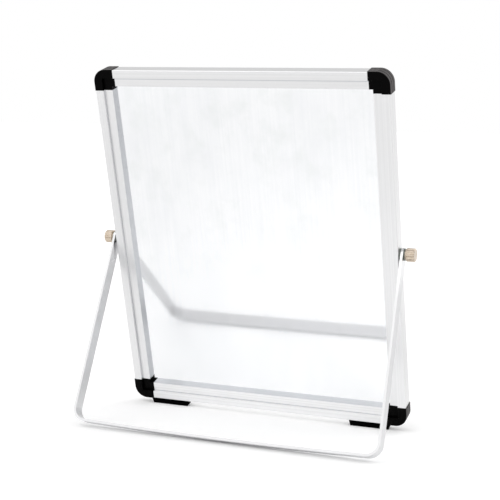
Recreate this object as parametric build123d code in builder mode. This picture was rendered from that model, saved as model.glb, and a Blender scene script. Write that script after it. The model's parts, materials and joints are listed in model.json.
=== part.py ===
"""Small whiteboard on a friction-held flat-bar bow, standing on its feet and on the bow's crossbar.

Row frame: millimetres, +Z up, the stand towards -Y and the white writing side towards +Y.
The origin is on the table, under the middle of the object's box.
Board frame: x across, y from the near (stand-side) face to the writing side, z up along the board.
"""

from build123d import *
from math import atan2, cos, degrees, radians, sin
import os

# --- Driving dimensions -------------------------------------------------------------------------

# Frame round the board
board_width = 254.0
board_height = 304.0
frame_depth = 12.0
rail_face_width = 14.3
rail_band_width = 7.0
rail_band_step = 2.5
rail_wall = 1.2
rail_edge_radius = 0.8
rail_step_radius = 0.15
lip_width = 12.0

# Panel held in the frame's groove
sheet_setback = 7.1
back_sheet_thickness = 0.4
core_thickness = 2.7
writing_sheet_thickness = 0.4
groove_play = 0.1
groove_floor_inset = 8.6
panel_edge_gap = 0.4

# Corner caps
cap_arm = 17.5
cap_outer_radius = 10.3
cap_side_proud = 0.4
cap_face_proud = 0.2
cap_edge_radius = 0.45
cap_groove_width = 0.7
cap_groove_depth = 0.35
cap_groove_depths = (3.4, 7.9)
tongue_length = 12.0
tongue_clearance = 0.15
tongue_lead_in = 1.0

# Rubber feet under the bottom rail
foot_height = 5.0
foot_length = 35.7
foot_end_margin = 15.4
foot_end_slant = 1.0
foot_face_inset = 0.5
foot_tread_width = 1.2
foot_tread_depth = 0.8
foot_tread_count = 3
foot_cap_gap = 0.1

# Pivots, half-way up the side rails
pivot_height = 153.4
pivot_depth = 6.8
stud_diameter = 5.0
stud_clearance = 0.05
rail_hole_clearance = 0.25
thread_pitch = 0.8
nut_length = 16.0
nut_thickness = 4.4
nut_clearance = 0.15
inner_washer_thickness = 1.3
inner_washer_diameter = 10.2
outer_washer_thickness = 1.1
outer_washer_diameter = 9.8
washer_running_gap = 0.05
washer_edge_chamfer = 0.25

# Thumb knobs
knob_neck_diameter = 9.0
knob_neck_length = 0.8
knob_diameter = 11.0
knob_head_length = 7.0
knob_chamfer = 0.6
knob_flutes = 10
knob_flute_radius = 1.2
knob_flute_depth = 0.55
knob_collar_length = 0.8
knob_cap_wall = 1.8

# Stand bow, bent from one flat bar
bar_thickness = 2.0
bar_width = 11.1
bow_reach = 165.6
bow_crossbar_sag = 1.9
bow_bend_radius = 11.5
bow_splay = 3.9
bow_flat_below_pivot = 8.0
bow_open_angle = 39.3

# --- Places worked out from them ------------------------------------------------------------------

panel_thickness = back_sheet_thickness + core_thickness + writing_sheet_thickness
lip_depth = sheet_setback + panel_thickness + groove_play
leg_inner_x = board_width / 2 + inner_washer_thickness + washer_running_gap
leg_outer_x = leg_inner_x + bar_thickness
outer_washer_x = leg_outer_x + washer_running_gap
knob_inner_x = outer_washer_x + outer_washer_thickness
knob_head_x = knob_inner_x + knob_neck_length
knob_end_x = knob_head_x + knob_head_length
chamber_outer_u = rail_wall
chamber_inner_u = rail_band_width - rail_wall
box_near = rail_band_step + rail_wall
box_far = sheet_setback - rail_wall
box_outer = chamber_inner_u + rail_wall
box_inner = rail_face_width - rail_wall
nut_inner_u = chamber_outer_u + nut_thickness
foot_relief = cap_side_proud + foot_cap_gap
foot_relief_x = board_width / 2 - cap_arm - foot_cap_gap
foot_inner_x = board_width / 2 - foot_end_margin - foot_length

# The lean: the near lower edge of the feet and the rear lower edge of the crossbar share the table
open_angle = radians(bow_open_angle)
bow_foot_y = pivot_depth - bow_reach * sin(open_angle) + bar_width / 2 * cos(open_angle)
bow_foot_z = pivot_height - bow_reach * cos(open_angle) - bar_width / 2 * sin(open_angle)
lean = atan2(bow_foot_z + foot_height, foot_face_inset - bow_foot_y)
bow_angle = open_angle - lean


def to_row_yz(y, z):
    """Y and Z of a board-frame point, before the origin is centred."""
    return y * cos(lean) - z * sin(lean), y * sin(lean) + z * cos(lean)


table_z = to_row_yz(foot_face_inset, -foot_height)[1]
farthest_y = to_row_yz(frame_depth - foot_face_inset, -foot_height)[0]
pivot_row_y = to_row_yz(pivot_depth, pivot_height)[0]
nearest_y = pivot_row_y - bow_reach * sin(bow_angle) - bar_width / 2 * cos(bow_angle)
middle_y = (nearest_y + farthest_y) / 2

board = Plane(
    origin=(0, -middle_y, -table_z),
    x_dir=(1, 0, 0),
    z_dir=(0, -sin(lean), cos(lean)),
)
board_middle = board.offset(board_height / 2)


def at_board(x, y, z):
    """A board-frame point in the row frame."""
    return board.from_local_coords(Vector(x, y, z))


def face_plane(depth):
    """Plane parallel to the board at a depth, seen from the stand side: local x across, y up the board."""
    return Plane(origin=at_board(0, depth, 0), x_dir=board.x_dir, z_dir=-board.y_dir)


def side_rail_plane(z):
    """Section plane of the left rail: local x is depth, y is inward; it extrudes down the board."""
    return Plane(origin=at_board(-board_width / 2, 0, z), x_dir=board.y_dir, z_dir=-board.z_dir)


def bottom_rail_plane(x):
    """Section plane of the bottom rail: local x is depth, y is up the board; it extrudes towards +X."""
    return Plane(origin=at_board(x, 0, 0), x_dir=board.y_dir, z_dir=board.x_dir)


def pivot_plane(x):
    """Plane square to the right-hand pivot axis, facing outward: local x is depth, y is up the board."""
    return Plane(origin=at_board(x, pivot_depth, pivot_height), x_dir=board.y_dir, z_dir=board.x_dir)


bow_plane = Plane(
    origin=at_board(0, pivot_depth, pivot_height),
    x_dir=(1, 0, 0),
    z_dir=(0, -cos(bow_angle), sin(bow_angle)),
)


eye_plane = Plane(origin=at_board(-leg_outer_x, pivot_depth, pivot_height), x_dir=-bow_plane.z_dir, z_dir=(1, 0, 0))


def save(part, name):
    """Label a finished piece and write it."""
    part.label = name
    export_step(part, f"parts/{name}.step")


os.makedirs("parts", exist_ok=True)

# --- Frame rails ------------------------------------------------------------------------------------


def rail_section(section_plane):
    """Extrusion section in (depth, inward): banded near face, panel groove, lip and two chambers."""
    with BuildSketch(section_plane) as section:
        with BuildLine():
            Polyline(
                (0, 0),
                (0, rail_band_width),
                (rail_band_step, rail_band_width),
                (rail_band_step, rail_face_width),
                (sheet_setback, rail_face_width),
                (sheet_setback, groove_floor_inset),
                (lip_depth, groove_floor_inset),
                (lip_depth, lip_width),
                (frame_depth, lip_width),
                (frame_depth, 0),
                close=True,
            )
        make_face()
        outer_corners = vertices().group_by(Axis.Y)[0]
        band_corner = vertices().group_by(Axis.X)[0].sort_by(Axis.Y)[-1]
        wall_corner = vertices().group_by(Axis.Y)[-1].sort_by(Axis.X)[0]
        fillet(outer_corners, rail_edge_radius)
        fillet([band_corner, wall_corner], rail_step_radius)
        with Locations((frame_depth / 2, (chamber_outer_u + chamber_inner_u) / 2)):
            Rectangle(frame_depth - 2 * rail_wall, chamber_inner_u - chamber_outer_u, mode=Mode.SUBTRACT)
        with Locations(((box_near + box_far) / 2, (box_outer + box_inner) / 2)):
            Rectangle(box_far - box_near, box_inner - box_outer, mode=Mode.SUBTRACT)
    return section.sketch


with BuildPart() as rail_bottom:
    extrude(rail_section(bottom_rail_plane(-board_width / 2 + cap_arm)), board_width - 2 * cap_arm)
save(rail_bottom.part, "rail_bottom")

with BuildPart() as rail_top:
    mirror(rail_bottom.part, about=board_middle)
save(rail_top.part, "rail_top")

with BuildPart() as rail_left:
    extrude(rail_section(side_rail_plane(board_height - cap_arm)), board_height - 2 * cap_arm)
    # Hole for the pivot stud through the outer wall
    with BuildSketch(pivot_plane(-board_width / 2)):
        Circle(stud_diameter / 2 + rail_hole_clearance)
    extrude(amount=rail_wall, mode=Mode.SUBTRACT)
save(rail_left.part, "rail_left")

with BuildPart() as rail_right:
    mirror(rail_left.part, about=Plane.YZ)
save(rail_right.part, "rail_right")

# --- Panel: steel back sheet, fibreboard core, white steel writing sheet ----------------------------


def panel_layer(depth, thickness):
    """One full-size layer of the panel, from a depth towards the writing side."""
    with BuildSketch(face_plane(depth)) as layer:
        with Locations((0, board_height / 2)):
            Rectangle(
                board_width - 2 * (groove_floor_inset + panel_edge_gap),
                board_height - 2 * (groove_floor_inset + panel_edge_gap),
            )
    extrude(layer.sketch, -thickness)


with BuildPart() as back_sheet:
    panel_layer(sheet_setback, back_sheet_thickness)
save(back_sheet.part, "back_sheet")

with BuildPart() as core_board:
    panel_layer(sheet_setback + back_sheet_thickness, core_thickness)
save(core_board.part, "core_board")

with BuildPart() as writing_sheet:
    panel_layer(sheet_setback + back_sheet_thickness + core_thickness, writing_sheet_thickness)
save(writing_sheet.part, "writing_sheet")

# --- Corner caps ------------------------------------------------------------------------------------


def cap_blank(size, inset):
    """Square over the lower left corner with the cap's outer round, its outer side moved in by inset."""
    low_x = -board_width / 2 - cap_side_proud + inset
    low_z = -cap_side_proud + inset
    with BuildSketch() as blank:
        with Locations((low_x, low_z)):
            Rectangle(size, size, align=(Align.MIN, Align.MIN))
        outer_corner = vertices().sort_by_distance((low_x, low_z, 0))[0]
        fillet(outer_corner, cap_outer_radius + cap_side_proud - inset)
    return blank.sketch


def cap_layer(width, near, far):
    """One level of the cap, an L whose inner sides are width from the frame's edges, between two depths."""
    with BuildSketch(face_plane(near)) as layer:
        add(cap_blank(cap_arm + cap_side_proud, 0))
        with Locations((-board_width / 2 + width, width)):
            Rectangle(cap_arm, cap_arm, align=(Align.MIN, Align.MIN), mode=Mode.SUBTRACT)
    extrude(layer.sketch, near - far)


def cap_side_groove(depth):
    """Shallow groove round the cap's outer side."""
    with BuildSketch(face_plane(depth)) as groove:
        add(cap_blank(cap_arm + cap_side_proud, 0))
        add(cap_blank(2 * cap_arm, cap_groove_depth), mode=Mode.SUBTRACT)
    extrude(groove.sketch, -cap_groove_width, mode=Mode.SUBTRACT)


def tongue_section():
    """Section of the tongue that fills the rail's outer chamber, in (depth, inward)."""
    with Locations((frame_depth / 2, (chamber_outer_u + chamber_inner_u) / 2)):
        Rectangle(
            frame_depth - 2 * (rail_wall + tongue_clearance),
            chamber_inner_u - chamber_outer_u - 2 * tongue_clearance,
        )


with BuildPart() as corner_bottom_left:
    cap_layer(rail_band_width, -cap_face_proud, frame_depth + cap_face_proud)
    cap_layer(rail_face_width, rail_band_step - cap_face_proud, sheet_setback)
    cap_layer(groove_floor_inset, rail_band_step - cap_face_proud, frame_depth + cap_face_proud)
    cap_layer(lip_width, lip_depth, frame_depth + cap_face_proud)
    near_face = faces().sort_by(Axis(board.origin, board.y_dir))[0]
    fillet(near_face.edges(), cap_edge_radius)
    for groove_depth in cap_groove_depths:
        cap_side_groove(groove_depth)
    with BuildSketch(bottom_rail_plane(-board_width / 2 + cap_arm)):
        tongue_section()
    extrude(amount=tongue_length)
    tip = faces().sort_by(Axis.X)[-1]
    chamfer(tip.edges(), tongue_lead_in)
    with BuildSketch(side_rail_plane(cap_arm + tongue_length)):
        tongue_section()
    extrude(amount=tongue_length)
    tip = faces().sort_by(Axis(board.origin, board.z_dir))[-1]
    chamfer(tip.edges(), tongue_lead_in)
save(corner_bottom_left.part, "corner_bottom_left")

with BuildPart() as corner_bottom_right:
    mirror(corner_bottom_left.part, about=Plane.YZ)
save(corner_bottom_right.part, "corner_bottom_right")

with BuildPart() as corner_top_left:
    mirror(corner_bottom_left.part, about=board_middle)
save(corner_top_left.part, "corner_top_left")

with BuildPart() as corner_top_right:
    mirror(corner_top_left.part, about=Plane.YZ)
save(corner_top_right.part, "corner_top_right")

# --- Feet -------------------------------------------------------------------------------------------

with BuildPart() as foot_right:
    with BuildSketch(face_plane(foot_face_inset)):
        with BuildLine():
            Polyline(
                (foot_inner_x, 0),
                (foot_inner_x + foot_end_slant, -foot_height),
                (foot_inner_x + foot_length - foot_end_slant, -foot_height),
                (foot_inner_x + foot_length, -foot_relief),
                (foot_relief_x, -foot_relief),
                (foot_relief_x, 0),
                close=True,
            )
        make_face()
    extrude(amount=-(frame_depth - 2 * foot_face_inset))
    # Treads along the underside
    tread_pitch = (frame_depth - 2 * foot_face_inset) / (foot_tread_count + 1)
    with BuildSketch(bottom_rail_plane(foot_inner_x)):
        with Locations((frame_depth / 2, -foot_height)):
            with GridLocations(tread_pitch, 0, foot_tread_count, 1):
                Rectangle(foot_tread_width, 2 * foot_tread_depth)
    extrude(amount=foot_length, mode=Mode.SUBTRACT)
save(foot_right.part, "foot_right")

with BuildPart() as foot_left:
    mirror(foot_right.part, about=Plane.YZ)
save(foot_left.part, "foot_left")

# --- Stand bow --------------------------------------------------------------------------------------

corner_reach = bow_reach - bow_crossbar_sag

with BuildPart() as stand_bow:
    with BuildSketch(bow_plane):
        with BuildLine():
            for side in (-1, 1):
                Polyline(
                    (side * (leg_outer_x + bow_splay), -corner_reach),
                    (side * leg_outer_x, -bow_flat_below_pivot),
                    (side * leg_outer_x, bar_width / 2),
                    (side * leg_inner_x, bar_width / 2),
                    (side * leg_inner_x, -bow_flat_below_pivot),
                    (side * (leg_inner_x + bow_splay), bar_thickness - corner_reach),
                )
            ThreePointArc(
                (-leg_outer_x - bow_splay, -corner_reach),
                (0, -bow_reach),
                (leg_outer_x + bow_splay, -corner_reach),
            )
            ThreePointArc(
                (-leg_inner_x - bow_splay, bar_thickness - corner_reach),
                (0, bar_thickness - bow_reach),
                (leg_inner_x + bow_splay, bar_thickness - corner_reach),
            )
        make_face()
        fillet(vertices().group_by(Axis.Y)[1], bow_bend_radius - bar_thickness)
        fillet(vertices().group_by(Axis.Y)[0], bow_bend_radius)
    extrude(amount=bar_width / 2, both=True)
    # Round eyes on the pivots
    with BuildSketch(eye_plane):
        Rectangle(2 * bar_width, 2 * bar_width, align=(Align.CENTER, Align.MIN))
        Circle(bar_width / 2, mode=Mode.SUBTRACT)
    extrude(amount=2 * leg_outer_x, mode=Mode.SUBTRACT)
    with BuildSketch(pivot_plane(-leg_outer_x - bow_splay)):
        Circle(stud_diameter / 2 + stud_clearance)
    extrude(amount=2 * (leg_outer_x + bow_splay), mode=Mode.SUBTRACT)
save(stand_bow.part, "stand_bow")

# --- Pivot hardware: right-hand pieces, then mirrored ------------------------------------------------


def ring(x, length, outer_diameter, bore_diameter):
    """Plain ring on the pivot axis."""
    with BuildSketch(pivot_plane(x)) as section:
        Circle(outer_diameter / 2)
        Circle(bore_diameter / 2, mode=Mode.SUBTRACT)
    extrude(section.sketch, length)


def save_pair(part, name):
    """Write the right-hand piece and its mirror image."""
    save(part, f"{name}_right")
    with BuildPart() as other:
        mirror(part, about=Plane.YZ)
    save(other.part, f"{name}_left")


running_bore = stud_diameter + 2 * stud_clearance
nut_inner_x = board_width / 2 - nut_inner_u
stud_end_x = knob_end_x - knob_cap_wall

with BuildPart() as pivot_nut:
    # Bar nut in the rail's outer chamber, against its outer wall
    nut_width = frame_depth - 2 * (rail_wall + nut_clearance)
    with BuildSketch(pivot_plane(nut_inner_x)):
        with Locations((frame_depth / 2 - pivot_depth, 0)):
            Rectangle(nut_width, nut_length)
        Circle(running_bore / 2, mode=Mode.SUBTRACT)
    extrude(amount=nut_thickness)
save_pair(pivot_nut.part, "pivot_nut")

with BuildPart() as inner_washer:
    ring(board_width / 2, inner_washer_thickness, inner_washer_diameter, running_bore)
save_pair(inner_washer.part, "inner_washer")

with BuildPart() as outer_washer:
    ring(outer_washer_x, outer_washer_thickness, outer_washer_diameter, running_bore)
    chamfer(edges().filter_by(GeomType.CIRCLE).sort_by(SortBy.RADIUS)[-2:], washer_edge_chamfer)
save_pair(outer_washer.part, "outer_washer")

with BuildPart() as pivot_stud:
    with BuildSketch(pivot_plane(nut_inner_x)):
        Circle(stud_diameter / 2)
    extrude(amount=stud_end_x - nut_inner_x)
    chamfer(edges().filter_by(GeomType.CIRCLE).sort_by(Axis.X)[0], thread_pitch / 2)
save_pair(pivot_stud.part, "pivot_stud")

with BuildPart() as knob:
    with BuildSketch(pivot_plane(knob_inner_x)):
        Circle(knob_neck_diameter / 2)
    extrude(amount=knob_neck_length)
    with BuildSketch(pivot_plane(knob_head_x)):
        Circle(knob_diameter / 2)
    extrude(amount=knob_head_length)
    rims = edges().filter_by(GeomType.CIRCLE).group_by(SortBy.RADIUS)[-1].sort_by(Axis.X)
    chamfer(rims[-1], knob_chamfer)
    chamfer(rims[0], knob_chamfer / 2)
    # Finger flutes, from the plain collar at the neck to the outer end
    flute_centre = knob_diameter / 2 + knob_flute_radius - knob_flute_depth
    with BuildSketch(pivot_plane(knob_head_x + knob_collar_length)):
        with PolarLocations(flute_centre, knob_flutes):
            Circle(knob_flute_radius)
    extrude(amount=knob_head_length, mode=Mode.SUBTRACT)
    with BuildSketch(pivot_plane(knob_inner_x)):
        Circle(stud_diameter / 2)
    extrude(amount=stud_end_x - knob_inner_x, mode=Mode.SUBTRACT)
save_pair(knob.part, "knob")

pivot_row = at_board(0, pivot_depth, pivot_height)
print("lean", round(degrees(lean), 3), "bow from vertical", round(degrees(bow_angle), 3))
print("pivot axis at", [round(c, 4) for c in pivot_row], "thread pitch", thread_pitch)
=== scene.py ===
"""Desk whiteboard on its swinging bow, seen from the stand side.

Gives each solid its finish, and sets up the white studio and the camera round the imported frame.
"""

import json
from math import radians

import bmesh
import bpy
from mathutils import Matrix, Vector

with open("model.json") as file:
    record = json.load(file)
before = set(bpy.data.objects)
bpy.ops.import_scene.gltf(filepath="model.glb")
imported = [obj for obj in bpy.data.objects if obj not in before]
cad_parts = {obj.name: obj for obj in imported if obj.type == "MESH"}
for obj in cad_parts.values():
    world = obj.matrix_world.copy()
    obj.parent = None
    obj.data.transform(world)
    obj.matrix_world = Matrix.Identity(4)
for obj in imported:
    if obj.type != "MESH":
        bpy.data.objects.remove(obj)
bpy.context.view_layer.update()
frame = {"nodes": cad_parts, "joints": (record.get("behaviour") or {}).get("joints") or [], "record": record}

MM = 0.001

# --- The board's own frame: X across, then into the board, then up along it -------------------------

BOARD_WIDTH = 254.0 * MM
BOARD_HEIGHT = 304.0 * MM
PIVOT_DEPTH = 6.8 * MM
PIVOT_HEIGHT = 153.4 * MM

mounts = {mount["name"]: mount for mount in frame["record"]["mounts"]}
joints = {joint["name"]: joint for joint in frame["joints"]}
board_up = -Vector(mounts["foot_right_base"]["axis"]).normalized()
board_in = Vector((0, board_up.z, -board_up.y))
pivot = Vector(joints["stand_swing"]["pos_m"])
board_origin = pivot - PIVOT_DEPTH * board_in - PIVOT_HEIGHT * board_up
near_face_depth = board_origin.dot(board_in)
middle_height = board_origin.dot(board_up) + BOARD_HEIGHT / 2
lean = board_in.angle(Vector((0, 1, 0)))

# Rail section, from the outer edge inwards and from the near face in
BAND_WIDTH = 7.0 * MM
BAND_STEP = 2.5 * MM
SHEET_DEPTH = 7.1 * MM

# How far the painted shade line runs in from the corner between the bands
SHADE_LINE_WIDTH = 0.4 * MM
TOP_SHADE_LINE_WIDTH = 1.4 * MM

# Margins that keep the painted shade on its own faces
STEP_MARGIN = 0.2 * MM
BAND_MARGIN = 0.05 * MM
SHEET_MARGIN = 0.1 * MM

# --- Camera, fitted to the photograph ---------------------------------------------------------------

CAMERA_PLACE = Vector((397.16, -963.11, 271.58)) * MM
CAMERA_AZIMUTH = radians(22.337)
CAMERA_DOWN = radians(6.590)
CAMERA_ROLL = radians(0.987)
CAMERA_LENS = 91.05
CAMERA_SENSOR = 36.0
CAMERA_NEAR = 0.01
CAMERA_FAR = 50.0

# --- Colours ----------------------------------------------------------------------------------------

WHITE = (1.0, 1.0, 1.0, 1.0)
# One aluminium for all rails: the top rail's darker tone is painted shade and the bottom rail's lighter tone
# is painted light
ALUMINIUM_TOP_SHADE = (0.715, 0.715, 0.720, 1.0)
ALUMINIUM_MID = (0.745, 0.745, 0.750, 1.0)
ALUMINIUM = (0.775, 0.775, 0.780, 1.0)
ALUMINIUM_BRIGHT = (0.800, 0.800, 0.805, 1.0)
ALUMINIUM_BOTTOM_LIT = (0.880, 0.880, 0.885, 1.0)
# Painted shade for the rails' inner walls and the corner between their bands
ALUMINIUM_PAINTED_SHADE = (0.560, 0.570, 0.590, 1.0)
STEEL_LIGHT = (0.940, 0.945, 0.955, 1.0)
STEEL_GREY = (0.880, 0.890, 0.905, 1.0)
# Stain tone, which also carries the painted darker reflection towards the sheet's top
STEEL_STAIN_AND_SHADE = (0.830, 0.850, 0.850, 1.0)
PLASTIC_BLACK = (0.0010, 0.0009, 0.0009, 1.0)
# Painted sheen for the caps' outward sides, in two tones
PLASTIC_SHEEN_DIM = (0.055, 0.051, 0.051, 1.0)
PLASTIC_SHEEN_BRIGHT = (0.095, 0.088, 0.088, 1.0)
RUBBER_BLACK = (0.0014, 0.0013, 0.0014, 1.0)
BAR_SILVER = (0.695, 0.695, 0.700, 1.0)
BAR_LIGHT = (0.735, 0.735, 0.745, 1.0)
NICKEL = (0.61, 0.52, 0.43, 1.0)
NICKEL_DARK = (0.52, 0.44, 0.35, 1.0)
DARK_STEEL = (0.150, 0.165, 0.150, 1.0)
DARK_STEEL_WORN = (0.230, 0.240, 0.220, 1.0)
ENAMEL = (0.91, 0.92, 0.92, 1.0)
ENAMEL_LIGHT = (0.95, 0.95, 0.95, 1.0)
BOARD_BROWN = (0.42, 0.29, 0.18, 1.0)
BOARD_TAN = (0.55, 0.42, 0.28, 1.0)
ZINC = (0.55, 0.55, 0.56, 1.0)
ZINC_LIGHT = (0.70, 0.70, 0.72, 1.0)
FLOOR_WHITE = (0.93, 0.93, 0.93, 1.0)

# --- Sizes and levels in the finishes ---------------------------------------------------------------

PLASTIC_IOR = 1.11
RUBBER_IOR = 1.05

# The rails' die lines and the sheet's streaks are this many times longer than they are wide
DIE_LINE_STRETCH = 400
STREAK_STRETCH = 60

# Slope of the sheet, up the board and across it, and how far its waves and streaks stand out
SHEET_RISE = 0.018
SHEET_SKEW = -0.010
SHEET_WAVE_HEIGHT = 0.12 * MM
SHEET_STREAK_HEIGHT = 0.0008 * MM

# The streaks' share in the sheet's patches, beside the clouds
STREAK_SHARE = 0.45

# The sheet's stains are painted stronger towards its top, as a painted darker reflection: two heights, and
# their share of full strength there
STAIN_SHADE_LOW_HEIGHT = 80.0 * MM
STAIN_SHADE_HIGH_HEIGHT = 260.0 * MM
STAIN_SHADE_LOW_SHARE = 0.30
STAIN_SHADE_HIGH_SHARE = 0.62

# Heights between which the bar turns from satin to worn smooth, and how much smoother it gets
BAR_SATIN_BELOW = 120.0 * MM
BAR_WORN_ABOVE = 135.0 * MM
BAR_WORN_SMOOTHER = 0.30

# --- Levels in the studio ---------------------------------------------------------------------------

# The room: as light, as seen, and as the metal mirrors it overhead
ROOM_LIGHT = 0.72
ROOM_WHITE = 1.0
CEILING = 0.66

FLOOR_HALF = 12.0
FLOOR_ROUGHNESS = 0.9

# The floor's own glow near the object and far off, and the distances that count as near and far
FLOOR_LIFT_NEAR = 0.02
FLOOR_LIFT_FAR = 0.36
FLOOR_NEAR = 0.30
FLOOR_FAR = 1.70

# More glow for the camera, and more round the object for the floor that its metal mirrors
FLOOR_WHITEN = 0.15
FOOT_GLOW = 0.25
FOOT_GLOW_REACH = 0.50

# The painted contact shadow where the object meets the floor: the glow fades in the floor's ambient
# occlusion
CONTACT_REACH = 2.0 * MM
CONTACT_POWER = 1.5
CONTACT_SAMPLES = 8


# --- Shader helpers ---------------------------------------------------------------------------------


class Shading:
    """A node tree, with one short call for each kind of node."""

    def __init__(self, tree):
        self.tree = tree

    def node(self, kind):
        return self.tree.nodes.new("ShaderNode" + kind)

    def feed(self, socket, value):
        """Link an output to a socket, or set the socket to a value."""
        if isinstance(value, bpy.types.NodeSocket):
            self.tree.links.new(value, socket)
        else:
            socket.default_value = value

    def math(self, operation, *values):
        """One math node."""
        node = self.node("Math")
        node.operation = operation
        for socket, value in zip(node.inputs, values):
            self.feed(socket, value)
        return node.outputs["Value"]

    def parts(self, vector):
        """X, Y and Z of a vector."""
        node = self.node("SeparateXYZ")
        self.feed(node.inputs["Vector"], vector)
        return node.outputs

    def level(self, value, low, high, start=0.0, end=1.0, eased=False):
        """Low at the start of a value and high at its end."""
        node = self.node("MapRange")
        if eased:
            node.interpolation_type = "SMOOTHSTEP"
        self.feed(node.inputs["Value"], value)
        self.feed(node.inputs["From Min"], start)
        self.feed(node.inputs["From Max"], end)
        self.feed(node.inputs["To Min"], low)
        self.feed(node.inputs["To Max"], high)
        return node.outputs["Result"]

    def ramp(self, value, start, end):
        """0 at the start of a value and 1 at its end."""
        return self.level(value, 0.0, 1.0, start, end)

    def blend(self, factor, first, second):
        """Colour between two colours or outputs."""
        node = self.node("Mix")
        node.data_type = "RGBA"
        self.feed(node.inputs["Factor"], factor)
        colours = [socket for socket in node.inputs if socket.type == "RGBA"]
        self.feed(colours[0], first)
        self.feed(colours[1], second)
        return next(socket for socket in node.outputs if socket.type == "RGBA")


class Finish(Shading):
    """A node material on Object coordinates turned into the board's frame."""

    def __init__(self, name, **settings):
        self.material = bpy.data.materials.new(name)
        self.material.use_nodes = True
        super().__init__(self.material.node_tree)
        self.shader = self.tree.nodes["Principled BSDF"]
        for socket, value in settings.items():
            self.shader.inputs[socket.replace("_", " ")].default_value = value
        self.where = self.turned("Object")

    def turned(self, coordinate):
        """A texture coordinate in the board's frame."""
        mapping = self.node("Mapping")
        mapping.inputs["Rotation"].default_value = (-lean, 0, 0)
        self.feed(mapping.inputs["Vector"], self.node("TexCoord").outputs[coordinate])
        return mapping.outputs["Vector"]

    def across(self):
        """Metres across the board from its middle."""
        return self.parts(self.where)["X"]

    def inward(self):
        """Metres in from the rails' near face."""
        return self.math("SUBTRACT", self.parts(self.where)["Y"], near_face_depth)

    def upward(self):
        """Metres up in the board's direction, from the origin on the floor."""
        return self.parts(self.where)["Z"]

    def above_middle(self):
        """Metres up along the board from its middle."""
        return self.math("SUBTRACT", self.upward(), middle_height)

    def painted_sheen(self):
        """Where a painted sheen goes: 1 on faces that look outwards along the board's own plane, 0 on all
        others.
        """
        facing = self.parts(self.turned("Normal"))
        side_on = self.ramp(self.math("ABSOLUTE", facing["Y"]), start=0.9, end=0.4)
        sideways = self.math("MULTIPLY", facing["X"], self.across())
        endways = self.math("MULTIPLY", facing["Z"], self.above_middle())
        outwards = self.math("GREATER_THAN", self.math("ADD", sideways, endways), 0.0)
        return self.math("MULTIPLY", side_on, outwards)

    def noise(self, scale, stretch=(1, 1, 1), detail=3.0, roughness=0.5, seed=0.0):
        """Noise over board-frame metres, each axis divided by its stretch."""
        mapping = self.node("Mapping")
        mapping.inputs["Scale"].default_value = [scale / value for value in stretch]
        mapping.inputs["Location"].default_value = (seed, 0, 0)
        self.feed(mapping.inputs["Vector"], self.where)
        texture = self.node("TexNoise")
        texture.inputs["Scale"].default_value = 1.0
        texture.inputs["Detail"].default_value = detail
        texture.inputs["Roughness"].default_value = roughness
        self.feed(texture.inputs["Vector"], mapping.outputs["Vector"])
        return texture.outputs["Fac"]

    def colour(self, output):
        self.feed(self.shader.inputs["Base Color"], output)

    def rough(self, output):
        self.feed(self.shader.inputs["Roughness"], output)

    def bump(self, relief, height=1.0):
        """Relief from an output, whose 1 stands this many metres high."""
        node = self.node("Bump")
        node.inputs["Distance"].default_value = 1.0
        self.feed(node.inputs["Height"], self.math("MULTIPLY", relief, height))
        self.feed(self.shader.inputs["Normal"], node.outputs["Normal"])


# --- Finishes ---------------------------------------------------------------------------------------


def edge_inset(finish, upright):
    """Metres in from the frame's outer edge, on the side rails or on the top and bottom ones."""
    if upright:
        place, half = finish.across(), BOARD_WIDTH / 2
    else:
        place, half = finish.above_middle(), BOARD_HEIGHT / 2
    return finish.math("SUBTRACT", half, finish.math("ABSOLUTE", place))


def painted_shade_walls(finish, upright, shade_line_width):
    """1 where shade is painted: on the wall down to the sheet, and along the corner between the bands."""
    inset = edge_inset(finish, upright)
    depth = finish.inward()
    past_step = finish.math("GREATER_THAN", depth, BAND_STEP + STEP_MARGIN)
    near_corner = finish.math("LESS_THAN", inset, BAND_WIDTH + shade_line_width)
    below_step = finish.math("GREATER_THAN", depth, BAND_STEP - STEP_MARGIN)
    off_outer_band = finish.math("GREATER_THAN", inset, BAND_WIDTH - BAND_MARGIN)
    above_sheet = finish.math("LESS_THAN", depth, SHEET_DEPTH + SHEET_MARGIN)
    wall_or_corner = finish.math("MULTIPLY", finish.math("MAXIMUM", past_step, near_corner), below_step)
    opening_side = finish.math("MULTIPLY", off_outer_band, above_sheet)
    return finish.math("MULTIPLY", wall_or_corner, opening_side)


def satin_aluminium(name, dark, light, upright=False, shade_line_width=SHADE_LINE_WIDTH):
    """Anodised extrusion with die lines along it, with painted shade in its corner and on its inner wall."""
    finish = Finish(name, Metallic=1.0)
    along = (1, 1, DIE_LINE_STRETCH) if upright else (DIE_LINE_STRETCH, 1, 1)
    lines = finish.noise(scale=900.0, stretch=along, detail=4.0, roughness=0.6)
    clouds = finish.noise(scale=45.0, seed=3.0)
    drawn = finish.blend(finish.ramp(lines, start=0.34, end=0.66), dark, light)
    # Painted shade: the inner wall and the corner between the bands take a darker tone
    finish.colour(finish.blend(painted_shade_walls(finish, upright, shade_line_width), drawn, ALUMINIUM_PAINTED_SHADE))
    finish.rough(finish.level(clouds, low=0.26, high=0.34))
    finish.bump(lines, height=0.0025 * MM)
    return finish.material


def black_plastic():
    """Moulded plastic: deep black face on, with a painted sheen that greys the sides that look outwards."""
    finish = Finish("moulded_black_plastic", IOR=PLASTIC_IOR)
    grain = finish.noise(scale=900.0)
    painted_sheen = finish.blend(finish.ramp(grain, start=0.3, end=0.7), PLASTIC_SHEEN_DIM, PLASTIC_SHEEN_BRIGHT)
    # Painted sheen: the outward sides take a greyer tone than the black face
    finish.colour(finish.blend(finish.painted_sheen(), PLASTIC_BLACK, painted_sheen))
    finish.rough(finish.level(grain, low=0.26, high=0.38))
    finish.bump(grain, height=0.008 * MM)
    return finish.material


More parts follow.
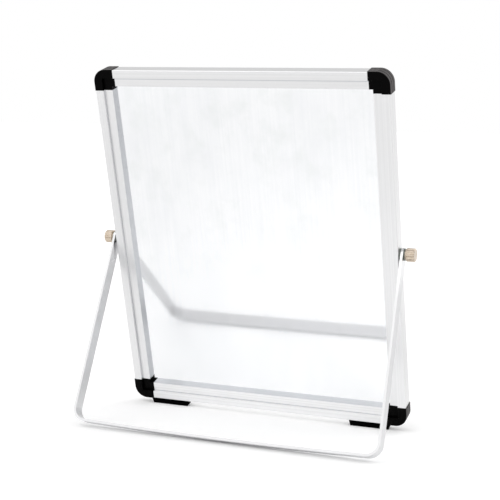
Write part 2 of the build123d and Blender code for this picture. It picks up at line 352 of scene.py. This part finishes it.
def bright_steel():
    """Zinc-coated sheet: mirror bright, faintly streaked and stained, with the stains painted stronger
    towards the top as a painted darker reflection, pressed a little out of flat.
    """
    finish = Finish("bright_steel_sheet", Metallic=1.0)
    streaks = finish.noise(scale=700.0, stretch=(1, 1, STREAK_STRETCH), detail=4.0, roughness=0.6)
    clouds = finish.noise(scale=28.0, stretch=(1, 1, 1.6), detail=6.0, roughness=0.65, seed=2.0)
    blotches = finish.noise(scale=62.0, stretch=(1, 1, 1.4), detail=6.0, roughness=0.6, seed=9.0)
    waves = finish.noise(scale=9.0, stretch=(1, 1, 2), detail=1.0, seed=4.0)

    streaky = finish.math("MULTIPLY", streaks, STREAK_SHARE)
    cloudy = finish.math("MULTIPLY", clouds, 1 - STREAK_SHARE)
    patches = finish.ramp(finish.math("ADD", streaky, cloudy), start=0.38, end=0.62)
    clean = finish.blend(patches, STEEL_LIGHT, STEEL_GREY)
    stains = finish.ramp(blotches, start=0.50, end=0.70)
    heights = (STAIN_SHADE_LOW_HEIGHT, STAIN_SHADE_HIGH_HEIGHT)
    # The stains grow stronger up the sheet: a painted darker reflection towards its top
    strength = finish.level(finish.upward(), STAIN_SHADE_LOW_SHARE, STAIN_SHADE_HIGH_SHARE, *heights)
    finish.colour(finish.blend(finish.math("MULTIPLY", stains, strength), clean, STEEL_STAIN_AND_SHADE))
    finish.rough(finish.level(patches, low=0.06, high=0.10))

    rise = finish.math("MULTIPLY", finish.upward(), SHEET_RISE)
    skew = finish.math("MULTIPLY", finish.across(), SHEET_SKEW)
    wavy = finish.math("MULTIPLY", waves, SHEET_WAVE_HEIGHT)
    fine = finish.math("MULTIPLY", streaks, SHEET_STREAK_HEIGHT)
    finish.bump(finish.math("ADD", finish.math("ADD", rise, skew), finish.math("ADD", wavy, fine)))
    return finish.material


def silver_bar():
    """Bar stock with a satin coat, worn smooth by the rails near its eyes."""
    finish = Finish("silver_bar", Metallic=1.0)
    grain = finish.noise(scale=1500.0, detail=2.0)
    clouds = finish.noise(scale=60.0, seed=5.0)
    finish.colour(finish.blend(clouds, BAR_SILVER, BAR_LIGHT))
    satin = finish.level(grain, low=0.40, high=0.48)
    worn = finish.ramp(finish.upward(), BAR_SATIN_BELOW, BAR_WORN_ABOVE)
    finish.rough(finish.math("SUBTRACT", satin, finish.math("MULTIPLY", worn, BAR_WORN_SMOOTHER)))
    finish.bump(grain, height=0.002 * MM)
    return finish.material


def warm_nickel():
    """Nickel plate with a warm cast and a satin surface."""
    finish = Finish("warm_nickel", Metallic=1.0)
    clouds = finish.noise(scale=350.0)
    finish.colour(finish.blend(finish.ramp(clouds, start=0.35, end=0.65), NICKEL_DARK, NICKEL))
    finish.rough(finish.level(clouds, low=0.22, high=0.34))
    finish.bump(clouds, height=0.008 * MM)
    return finish.material


def black_rubber():
    """Matt rubber strip with a fine grain."""
    finish = Finish("black_rubber", Base_Color=RUBBER_BLACK, IOR=RUBBER_IOR)
    grain = finish.noise(scale=2200.0)
    finish.rough(finish.level(grain, low=0.62, high=0.80))
    finish.bump(grain, height=0.020 * MM)
    return finish.material


def dark_washer():
    """Black-oxide washer steel, worn a little lighter."""
    finish = Finish("dark_washer_steel", Metallic=1.0)
    grain = finish.noise(scale=1800.0)
    finish.colour(finish.blend(grain, DARK_STEEL, DARK_STEEL_WORN))
    finish.rough(finish.level(grain, low=0.22, high=0.36))
    finish.bump(grain, height=0.006 * MM)
    return finish.material


def white_enamel():
    """Glossy baked writing surface with a faint orange peel."""
    finish = Finish("white_enamel", Coat_Weight=0.5, Coat_Roughness=0.05)
    peel = finish.noise(scale=500.0, detail=2.0)
    clouds = finish.noise(scale=20.0, detail=4.0, seed=7.0)
    finish.colour(finish.blend(clouds, ENAMEL, ENAMEL_LIGHT))
    finish.rough(finish.level(clouds, low=0.16, high=0.24))
    finish.bump(peel, height=0.004 * MM)
    return finish.material


def fibreboard():
    """Pressed fibre core."""
    finish = Finish("fibreboard")
    fibres = finish.noise(scale=1500.0, stretch=(1, 1, 4), detail=5.0)
    finish.colour(finish.blend(fibres, BOARD_BROWN, BOARD_TAN))
    finish.rough(finish.level(fibres, low=0.75, high=0.90))
    finish.bump(fibres, height=0.05 * MM)
    return finish.material


def zinc_steel():
    """Zinc-plated fastener."""
    finish = Finish("zinc_steel", Metallic=1.0)
    grain = finish.noise(scale=900.0)
    finish.colour(finish.blend(grain, ZINC, ZINC_LIGHT))
    finish.rough(finish.level(grain, low=0.30, high=0.45))
    finish.bump(grain, height=0.008 * MM)
    return finish.material


def pair(name):
    """The left and the right node of a name."""
    return f"{name}_left", f"{name}_right"


def dress(material, *nodes):
    """Give CAD nodes a material."""
    for node in nodes:
        data = frame["nodes"][node].data
        data.materials.clear()
        data.materials.append(material)


def dress_nodes():
    """Every CAD node gets its own finish."""
    # Lit and shaded copies of one aluminium: the top rail painted darker, the bottom rail painted lighter,
    # the uprights between
    top = satin_aluminium("aluminium_top_shaded", ALUMINIUM_TOP_SHADE, ALUMINIUM, shade_line_width=TOP_SHADE_LINE_WIDTH)
    dress(top, "rail_top")
    dress(satin_aluminium("aluminium_bottom_lit", ALUMINIUM_BRIGHT, ALUMINIUM_BOTTOM_LIT), "rail_bottom")
    uprights = satin_aluminium("aluminium_upright", ALUMINIUM_MID, ALUMINIUM_BRIGHT, upright=True)
    dress(uprights, *pair("rail"))
    dress(black_plastic(), *pair("corner_top"), *pair("corner_bottom"))
    dress(bright_steel(), "back_sheet")
    dress(fibreboard(), "core_board")
    dress(white_enamel(), "writing_sheet")
    dress(black_rubber(), *pair("foot"))
    dress(silver_bar(), "stand_bow")
    dress(warm_nickel(), *pair("knob"))
    dress(dark_washer(), *pair("inner_washer"), *pair("outer_washer"))
    dress(zinc_steel(), *pair("pivot_nut"), *pair("pivot_stud"))


# --- Studio -----------------------------------------------------------------------------------------


def white_room():
    """White all round for what is seen, a dimmer ceiling in the metal, and a softer level as light."""
    world = bpy.data.worlds.new("studio")
    world.use_nodes = True
    bpy.context.scene.world = world
    room = Shading(world.node_tree)
    background = room.tree.nodes["Background"]
    background.inputs["Color"].default_value = WHITE
    rays = room.node("LightPath").outputs
    overhead = room.parts(room.node("TexCoord").outputs["Generated"])["Z"]
    mirrored = room.level(overhead, ROOM_WHITE, CEILING, eased=True)
    unseen = room.level(rays["Is Glossy Ray"], ROOM_LIGHT, mirrored, eased=True)
    clear = room.math("MAXIMUM", rays["Is Camera Ray"], rays["Is Transmission Ray"])
    strength = room.level(clear, unseen, ROOM_WHITE, eased=True)
    room.feed(background.inputs["Strength"], strength)


def pale_floor():
    """Matt white that glows a little for the camera and in mirrors, but not where the object touches it."""
    material = bpy.data.materials.new("pale_floor")
    material.use_nodes = True
    paint = Shading(material.node_tree)
    shader = paint.tree.nodes["Principled BSDF"]
    shader.inputs["Base Color"].default_value = FLOOR_WHITE
    shader.inputs["Roughness"].default_value = FLOOR_ROUGHNESS
    shader.inputs["Specular IOR Level"].default_value = 0.0
    shader.inputs["Emission Color"].default_value = WHITE

    away = paint.node("VectorMath")
    away.operation = "LENGTH"
    paint.feed(away.inputs[0], paint.node("TexCoord").outputs["Object"])
    distance = away.outputs["Value"]
    open_air = paint.node("AmbientOcclusion")
    open_air.samples = CONTACT_SAMPLES
    open_air.inputs["Distance"].default_value = CONTACT_REACH

    rays = paint.node("LightPath").outputs
    mirrored_or_seen = paint.math("MAXIMUM", rays["Is Camera Ray"], rays["Is Glossy Ray"])
    shown = paint.math("MAXIMUM", mirrored_or_seen, rays["Is Transmission Ray"])
    lift = paint.level(distance, FLOOR_LIFT_NEAR, FLOOR_LIFT_FAR, FLOOR_NEAR, FLOOR_FAR, eased=True)
    foot_glow = paint.level(distance, FOOT_GLOW, 0.0, end=FOOT_GLOW_REACH, eased=True)
    glow = paint.math("MULTIPLY", shown, lift)
    glow = paint.math("MULTIPLY_ADD", rays["Is Glossy Ray"], foot_glow, glow)
    glow = paint.math("MULTIPLY_ADD", rays["Is Camera Ray"], FLOOR_WHITEN, glow)
    # Painted contact shadow: the glow is taken away where the object hides the floor
    outside_contact_shadow = paint.math("POWER", open_air.outputs["AO"], CONTACT_POWER)
    paint.feed(shader.inputs["Emission Strength"], paint.math("MULTIPLY", glow, outside_contact_shadow))
    return material


def table_top():
    """Wide floor that fades into the white room and keeps the object's shadow."""
    shape = bmesh.new()
    bmesh.ops.create_grid(shape, x_segments=1, y_segments=1, size=FLOOR_HALF)
    data = bpy.data.meshes.new("table_top")
    shape.to_mesh(data)
    shape.free()
    data.materials.append(pale_floor())
    floor = bpy.data.objects.new("table_top", data)
    bpy.context.scene.collection.objects.link(floor)


def soft_light(name, place, target, size, power):
    """Square area light that faces a point."""
    data = bpy.data.lights.new(name, "AREA")
    data.shape = "SQUARE"
    data.size = size
    data.energy = power
    light = bpy.data.objects.new(name, data)
    light.location = place
    light.rotation_euler = (Vector(target) - light.location).to_track_quat("-Z", "Y").to_euler()
    bpy.context.scene.collection.objects.link(light)


def lamps():
    """A large soft key from the upper left, a soft lamp over the front and one behind."""
    middle = (0, 0, 0.15)
    table_front = (0, -0.1, 0)
    soft_light("soft_key", place=(-0.62, -1.16, 1.10), target=middle, size=2.0, power=6.0)
    soft_light("soft_front", place=(-0.15, -0.45, 1.15), target=table_front, size=1.3, power=2.6)
    soft_light("soft_back", place=(0.90, 0.95, 1.25), target=middle, size=1.4, power=6.5)


def camera():
    """The photograph's viewpoint."""
    data = bpy.data.cameras.new("camera")
    data.sensor_width = CAMERA_SENSOR
    data.lens = CAMERA_LENS
    data.clip_start = CAMERA_NEAR
    data.clip_end = CAMERA_FAR
    viewer = bpy.data.objects.new("camera", data)
    turn = Matrix.Rotation(CAMERA_AZIMUTH, 4, "Z")
    tilt = Matrix.Rotation(radians(90) - CAMERA_DOWN, 4, "X")
    roll = Matrix.Rotation(CAMERA_ROLL, 4, "Z")
    viewer.matrix_world = Matrix.Translation(CAMERA_PLACE) @ turn @ tilt @ roll
    bpy.context.scene.collection.objects.link(viewer)
    bpy.context.scene.camera = viewer


dress_nodes()
white_room()
table_top()
lamps()
camera()
bpy.context.scene.view_settings.view_transform = "Standard"
